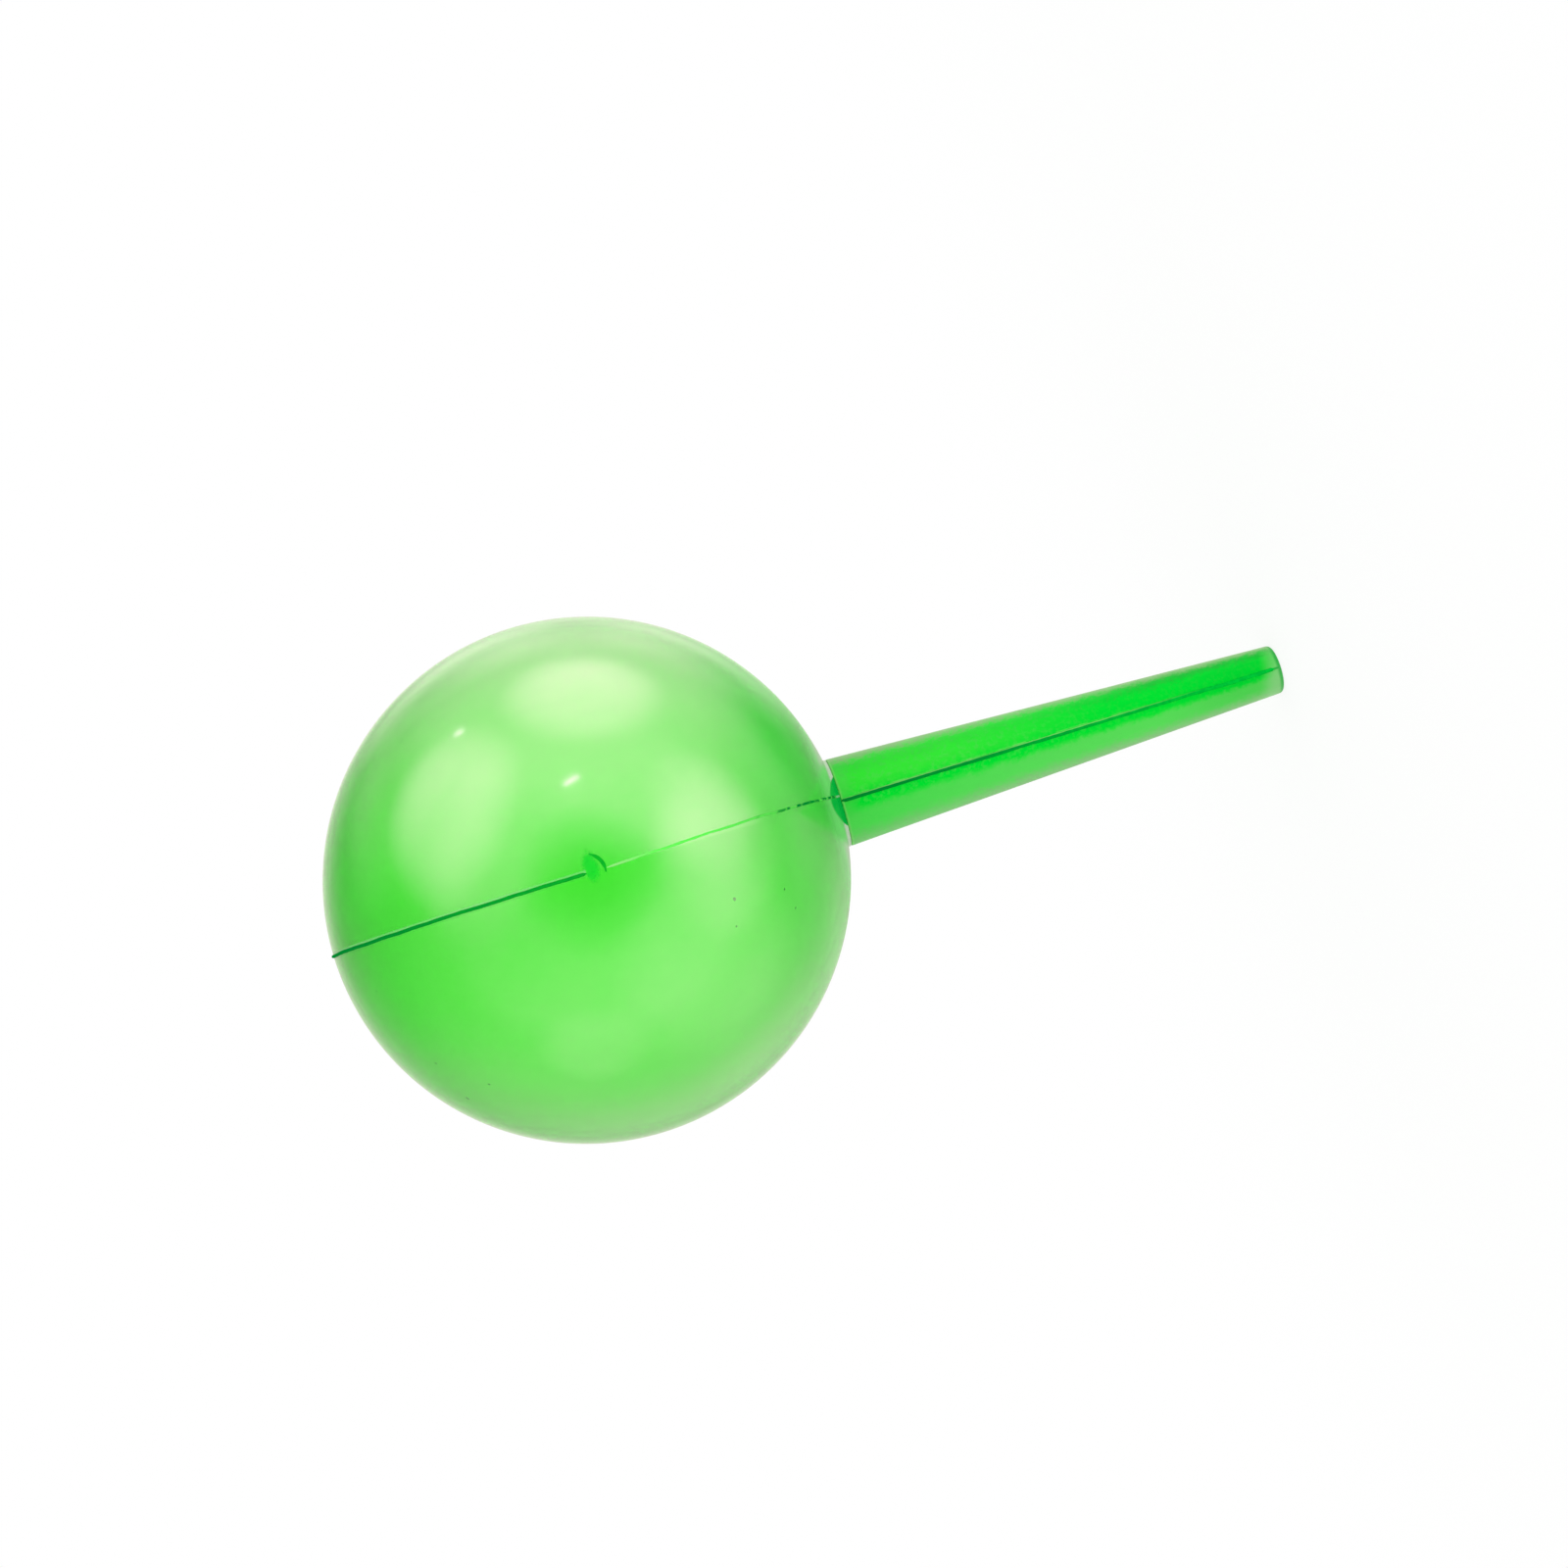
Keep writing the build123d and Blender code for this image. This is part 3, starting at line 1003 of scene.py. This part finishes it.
def specked_plastic():
    """The fine line: bright at the fold, then darker, and specked with deep green by the neck."""
    look = settings("watering_plastic")
    zones = LineZones
    material, graph = new_material("Specked green plastic")
    spot = graph.node("ShaderNodeTexCoord", output="Object")
    height = axes(graph, spot)[2]
    tint = graph.mix(height.step(*zones.deep), rgba(look.line_edge), rgba(look.globe_deep))
    tint = graph.mix(height.step(*zones.even), tint, rgba(look.line_even))
    specks = noise(graph, spot, *LINE_GRAIN) + height.step(*zones.more_specks)
    specks = specks.step(*zones.specks) * height.step(*zones.specked)
    tint = graph.mix(specks, tint, rgba(look.line))
    fill_line(graph, tint)
    return material


def fill_line(graph, tint):
    """Finish a line's plastic, which scatters the light and hardly shines."""
    look = settings("watering_plastic")
    surface = graph.node(
        "ShaderNodeBsdfPrincipled",
        {},
        {"Base Color": tint, "Roughness": look.matt, "IOR": look.ior, "Specular IOR Level": 0.0},
    )
    graph.node("ShaderNodeOutputMaterial", {}, {"Surface": surface})


def ball_point(turn, rise):
    """A point on the globe, by its turn about the axis from the front and its rise over the middle."""
    return (
        GLOBE_RADIUS * cos(rise) * sin(turn),
        -GLOBE_RADIUS * cos(rise) * cos(turn),
        centre_height() + GLOBE_RADIUS * sin(rise),
    )


class BuildGlobe(bpy.types.Operator):
    """Build the blown globe with its seat, neck and hollow"""

    bl_idname = "watering.globe"
    bl_label = "Globe"

    def execute(self, context):
        sizes = settings("watering_globe")
        piece = outline_object("globe_shell", globe_outline(sizes))
        values = {"Around": sizes.around, "Material": globe_plastic()}
        run_nodes(piece, revolve_tree(), values)
        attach(piece, "globe")
        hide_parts("globe")
        return {"FINISHED"}


class BuildGlobeLines(bpy.types.Operator):
    """Build the pinched weld, the fine line and the folds on the globe"""

    bl_idname = "watering.globe_lines"
    bl_label = "Globe lines"

    def execute(self, context):
        sizes = settings("watering_lines")
        look = settings("watering_plastic")
        rise = sizes.fold_rise / GLOBE_RADIUS
        foot = acos((RIM_RADIUS + sizes.neck_gap) / GLOBE_RADIUS)
        past_fold = rise - sizes.line_start / GLOBE_RADIUS
        weld = [ball_point(0, turn) for turn in spread(rise, pi - rise, WELD_POINTS)]
        lines = [self.fine_line(side, past_fold, -foot, sizes.line_drift) for side in (0, pi)]
        folds = [self.crescent(side, rise, sizes) for side in (0, pi)]
        middle = centre_height()
        crown = middle + GLOBE_RADIUS
        pinched = line_plastic("Pinched green plastic", look.line_near, look.line, middle, crown)
        specked = specked_plastic()
        folded = line_plastic("Folded green plastic", look.fold, look.fold, middle, crown)
        tree = ridge_tree()
        for name, kind, paths, material in (
            ("globe_weld", "weld", [weld], pinched),
            ("globe_line", "line", lines, specked),
            ("globe_folds", "fold", folds, folded),
        ):
            piece = path_object(name, paths)
            values = ridge_values(kind, material)
            values["Spacing"] = sizes.globe_spacing
            values["Grain"] = sizes.globe_grain
            values["Middle"] = (0, 0, middle)
            values["Round"] = (1, 1, 1)
            run_nodes(piece, tree, values)
            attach(piece, "globe")
        return {"FINISHED"}

    def fine_line(self, side, start, end, drift):
        """Points of the line from a fold to the neck, which drifts towards +X on its upper half."""
        points = []
        for share in spread(0, 1, LINE_POINTS):
            rise = start + (end - start) * share
            aside = drift * min(1, 2 * share) / (GLOBE_RADIUS * cos(rise))
            points.append(ball_point(side + aside * cos(side), rise))
        return points

    def crescent(self, side, rise, sizes):
        """Points of the crescent round the weld's end, on the front or the back."""
        reach = sizes.fold_reach / GLOBE_RADIUS
        turns = spread(sizes.fold_start, sizes.fold_end, CRESCENT_POINTS)
        return [ball_point(side + reach * sin(t), rise - reach * cos(t)) for t in turns]


class BuildStem(bpy.types.Operator):
    """Build the tapered stem with its socket and channel"""

    bl_idname = "watering.stem"
    bl_label = "Stem"

    def execute(self, context):
        sizes = settings("watering_stem")
        piece = outline_object("stem_spike", stem_outline(sizes))
        values = {"Around": sizes.around, "Material": stem_plastic()}
        run_nodes(piece, revolve_tree(), values)
        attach(piece, "stem")
        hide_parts("stem")
        return {"FINISHED"}


class BuildStemLines(bpy.types.Operator):
    """Build the two parting lines of the stem"""

    bl_idname = "watering.stem_lines"
    bl_label = "Stem lines"

    def execute(self, context):
        sizes = settings("watering_lines")
        stem = settings("watering_stem")
        look = settings("watering_plastic")
        top = -LINE_TOP * stem.rim_round
        bottom = 2 * stem.tip_round - STEM_LENGTH
        paths = [[(0, side * stem_radius(z), z) for z in (top, bottom)] for side in (-1, 1)]
        piece = path_object("stem_lines", paths)
        parted = line_plastic("Parted green plastic", look.line_end, look.line, bottom, top, lit=True)
        values = ridge_values("stem", parted)
        values["Spacing"] = sizes.stem_spacing
        values["Grain"] = sizes.stem_grain
        values["Middle"] = (0, 0, 0)
        values["Round"] = (1, 1, 0)
        run_nodes(piece, ridge_tree(), values)
        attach(piece, "stem")
        return {"FINISHED"}


class BuildStage(bpy.types.Operator):
    """Build the floor, the lights and the camera"""

    bl_idname = "watering.stage"
    bl_label = "Stage"

    def execute(self, context):
        setup = settings("watering_studio")
        scene = context.scene
        scene.view_settings.view_transform = "Standard"
        self.floor(setup)
        middle = Vector((0, 0, centre_height()))
        view = self.camera(scene, setup, middle)
        self.world(scene, setup, view)
        self.lights(setup, middle, view)
        return {"FINISHED"}

    def floor(self, setup):
        """A white floor at the stem's tip, which only the camera sees."""
        low = stem_box[0][2]
        reach = setup.floor_reach
        corners = [(reach * x, reach * y, low) for x, y in ((-1, -1), (1, -1), (1, 1), (-1, 1))]
        mesh = bpy.data.meshes.new("floor")
        mesh.from_pydata(corners, [], [(0, 1, 2, 3)])
        material, graph = new_material("Pale floor")
        matt = graph.node("ShaderNodeBsdfDiffuse", {}, {"Color": WHITE})
        glow = graph.node("ShaderNodeEmission", {}, {"Color": WHITE, "Strength": 1.0})
        blend = graph.node("ShaderNodeMixShader", {}, {0: setup.floor_glow, 1: matt, 2: glow})
        graph.node("ShaderNodeOutputMaterial", {}, {"Surface": blend})
        mesh.materials.append(material)
        floor = place("floor", mesh)
        floor.visible_glossy = False
        floor.visible_transmission = False
        floor.visible_diffuse = False
        floor.visible_shadow = False

    def world(self, scene, setup, view):
        """An even white studio, whose soft boxes show only as reflections on the outer skin."""
        world = bpy.data.worlds.new("Studio")
        scene.world = world
        world.use_nodes = True
        world.node_tree.nodes.clear()
        graph = Graph(world.node_tree)
        way = graph.node("ShaderNodeTexCoord", output="Generated")

        def towards(x, y, z):
            """How far a ray points along a way, given by the picture's right, up and back."""
            return graph.vector("DOT_PRODUCT", way, tuple(view @ Vector((x, y, z))), output="Value")

        boxes = setup.reflected
        for turn, lean, inner, outer, strength in SOFT_BOXES:
            turn, lean = radians(turn), radians(lean)
            near = towards(sin(lean) * cos(turn), sin(lean) * sin(turn), cos(lean))
            edges = (cos(radians(outer)), cos(radians(inner)))
            boxes = boxes + near.step(*edges, 0, strength * setup.soft_boxes)
        behind = 1 - towards(0, 0, 1)
        boxes = boxes * graph.node("ShaderNodeClamp", {}, {"Value": behind / setup.camera_shade})

        # The skin's gloss makes up for dimmer boxes, save where rays graze it on their way behind
        dimmed = 1 / settings("watering_plastic").gloss
        boxes = boxes * ((behind / 2) ** setup.grazing * (1 - dimmed) + dimmed)
        path = {
            name: graph.node("ShaderNodeLightPath", output=name)
            for name in ("Is Camera Ray", "Is Glossy Ray", "Transmission Depth")
        }
        on_skin = path["Is Glossy Ray"] * (path["Transmission Depth"] < 1)
        level = on_skin * boxes + (1 - on_skin) * setup.base
        level = level + path["Is Camera Ray"] * (1 - level)
        tint = graph.mix(on_skin, WHITE, rgba(setup.warmth))
        sky = graph.node("ShaderNodeBackground", {}, {"Color": tint, "Strength": level})
        graph.node("ShaderNodeOutputWorld", {}, {"Surface": sky})

    def camera(self, scene, setup, middle):
        """Place the camera. Returns its axes as columns: the picture's right, up and back."""
        facing = Vector((-sin(setup.turn), -cos(setup.turn), 0))
        back = facing * cos(setup.tilt) + Vector((0, 0, 1)) * sin(setup.tilt)
        stem = Vector((0, 0, -1))
        stem = (stem - back * stem.dot(back)).normalized()
        across = back.cross(stem)
        right = stem * cos(setup.roll) - across * sin(setup.roll)
        up = stem * sin(setup.roll) + across * cos(setup.roll)
        view = Matrix((right, up, back)).transposed()
        focal = setup.lens / setup.sensor * setup.picture
        half = setup.picture / 2
        x, y = setup.centre_pixel
        aside = Vector(((x - half) / focal, (half - y) / focal, -1))
        turned = view @ aside.rotation_difference(Vector((0, 0, -1))).to_matrix()
        lens = bpy.data.cameras.new("camera")
        lens.lens = setup.lens
        lens.sensor_width = setup.sensor
        lens.clip_start = setup.near
        camera = place("camera", lens)
        camera.matrix_world = Matrix.Translation(middle + back * setup.distance) @ turned.to_4x4()
        scene.camera = camera
        return view

    def lights(self, setup, middle, view):
        """Small lamps, whose reflections are short bright streaks."""
        slant = view @ Vector((cos(setup.slant), sin(setup.slant), 0))
        for name, (way, size, share) in LAMPS.items():
            lamp = bpy.data.lights.new(name, "AREA")
            lamp.shape = "RECTANGLE"
            lamp.size, lamp.size_y = size
            lamp.energy = share * setup.lamp_power
            box = place(name, lamp)
            away = (view @ Vector(way)).normalized()
            side = (slant - away * slant.dot(away)).normalized()
            turned = Matrix((side, away.cross(side), away)).transposed()
            spot = Matrix.Translation(middle + away * setup.lamp_distance)
            box.matrix_world = spot @ turned.to_4x4()
            box.visible_camera = False


class GlobePanel(bpy.types.Panel):
    """Pieces of the watering globe"""

    bl_idname = "WATERING_PT_pieces"
    bl_label = "Watering globe"
    bl_space_type = "VIEW_3D"
    bl_region_type = "UI"
    bl_category = "Watering globe"

    def draw(self, context):
        for operator in OPERATORS:
            self.layout.operator(operator.bl_idname)
        for name in GROUPS:
            group = getattr(context.scene, name)
            column = self.layout.column(align=True)
            for field in group.bl_rna.properties:
                if field.identifier not in ("rna_type", "name"):
                    column.prop(group, field.identifier)


OPERATORS = (BuildGlobe, BuildGlobeLines, BuildStem, BuildStemLines, BuildStage)
CLASSES = (*GROUPS.values(), *OPERATORS, GlobePanel)


def register():
    for item in CLASSES:
        bpy.utils.register_class(item)
    for name, group in GROUPS.items():
        setattr(bpy.types.Scene, name, PointerProperty(type=group))


def unregister():
    for name in GROUPS:
        delattr(bpy.types.Scene, name)
    for item in reversed(CLASSES):
        bpy.utils.unregister_class(item)


def main():
    register()
    bpy.ops.watering.globe()
    bpy.ops.watering.globe_lines()
    bpy.ops.watering.stem()
    bpy.ops.watering.stem_lines()
    bpy.ops.watering.stage()


if __name__ == "__main__":
    main()
